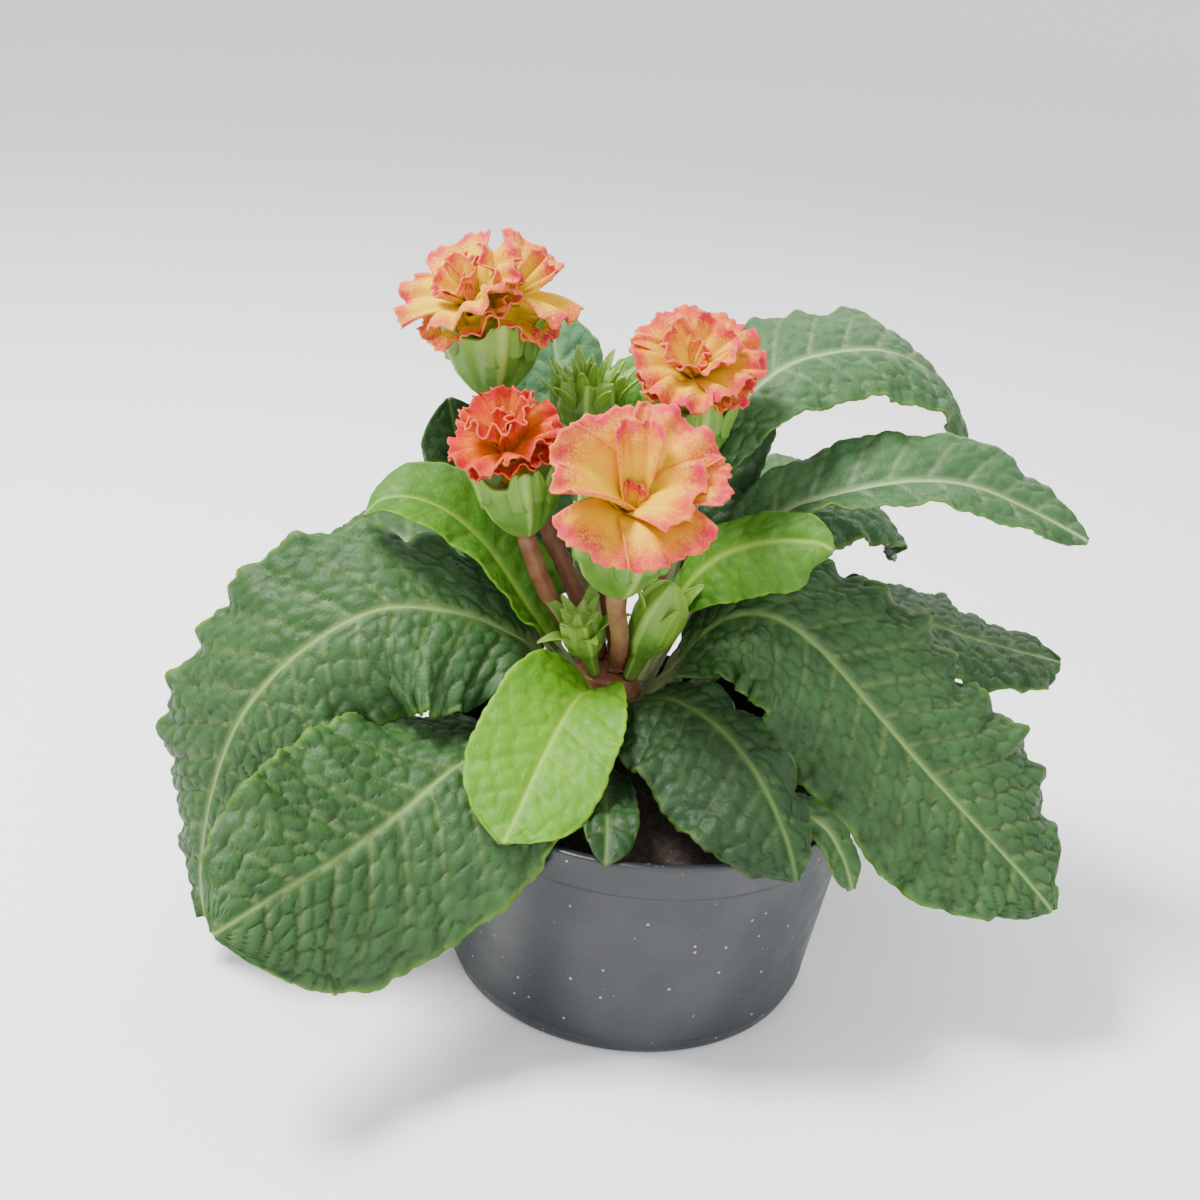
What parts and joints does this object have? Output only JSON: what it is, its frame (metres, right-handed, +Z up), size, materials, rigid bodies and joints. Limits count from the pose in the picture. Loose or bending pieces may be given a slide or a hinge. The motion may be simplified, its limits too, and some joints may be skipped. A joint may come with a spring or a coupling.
{
  "type": "potted primrose",
  "caption": "Double primrose with ruffled yellow and pink flowers and broad crinkled leaves, growing in a round black plastic pot.",
  "frame": {"origin": "centre of the pot's underside, on the floor", "axes": "+Z up out of the pot, +X to the viewer's right, -Y towards the viewer"},
  "size_m": [0.2548, 0.2117, 0.202],
  "materials": {
    "black_plastic": "dark grey moulded plastic with a faint sheen and pale flecks",
    "soil": "dark peat, matt and crumbly",
    "reddish_stalk": "reddish brown plant stalk with fine down",
    "leaf": "dark green, netted with raised blisters between pale veins",
    "young_leaf": "bright yellow green, smooth, with pale veins",
    "calyx_green": "light green with paler ribs",
    "petal": "yellow to orange with pink frilled margins, soft and matt"
  },
  "bodies": {
    "root": {"bud_cluster": "calyx_green", "bud_low_left": "calyx_green", "bud_low_right": "calyx_green", "calyx_front": "calyx_green", "calyx_left": "calyx_green", "calyx_right": "calyx_green", "calyx_top": "calyx_green", "crown": "reddish_stalk", "leaf_back_one": "leaf", "leaf_back_right": "leaf", "leaf_back_three": "leaf", "leaf_back_two": "leaf", "leaf_behind_bud": "leaf", "leaf_behind_flower": "leaf", "leaf_front_bright": "young_leaf", "leaf_front_right": "leaf", "leaf_front_under": "leaf", "leaf_left_back": "leaf", "leaf_left_big": "leaf", "leaf_left_grey": "leaf", "leaf_left_low": "leaf", "leaf_left_upright": "leaf", "leaf_left_young": "young_leaf", "leaf_right_arch": "leaf", "leaf_right_behind": "leaf", "leaf_right_big": "leaf", "leaf_right_bright": "young_leaf", "leaf_right_dark": "leaf", "leaf_right_tiny": "leaf", "leaf_right_top": "leaf", "petals_front": "petal", "petals_left": "petal", "petals_right": "petal", "petals_top": "petal", "pot": "black_plastic", "potting_soil": "soil", "stalk_bud_cluster": "reddish_stalk", "stalk_front": "reddish_stalk", "stalk_left": "reddish_stalk", "stalk_right": "reddish_stalk", "stalk_top": "reddish_stalk"}
  },
  "joints": []
}
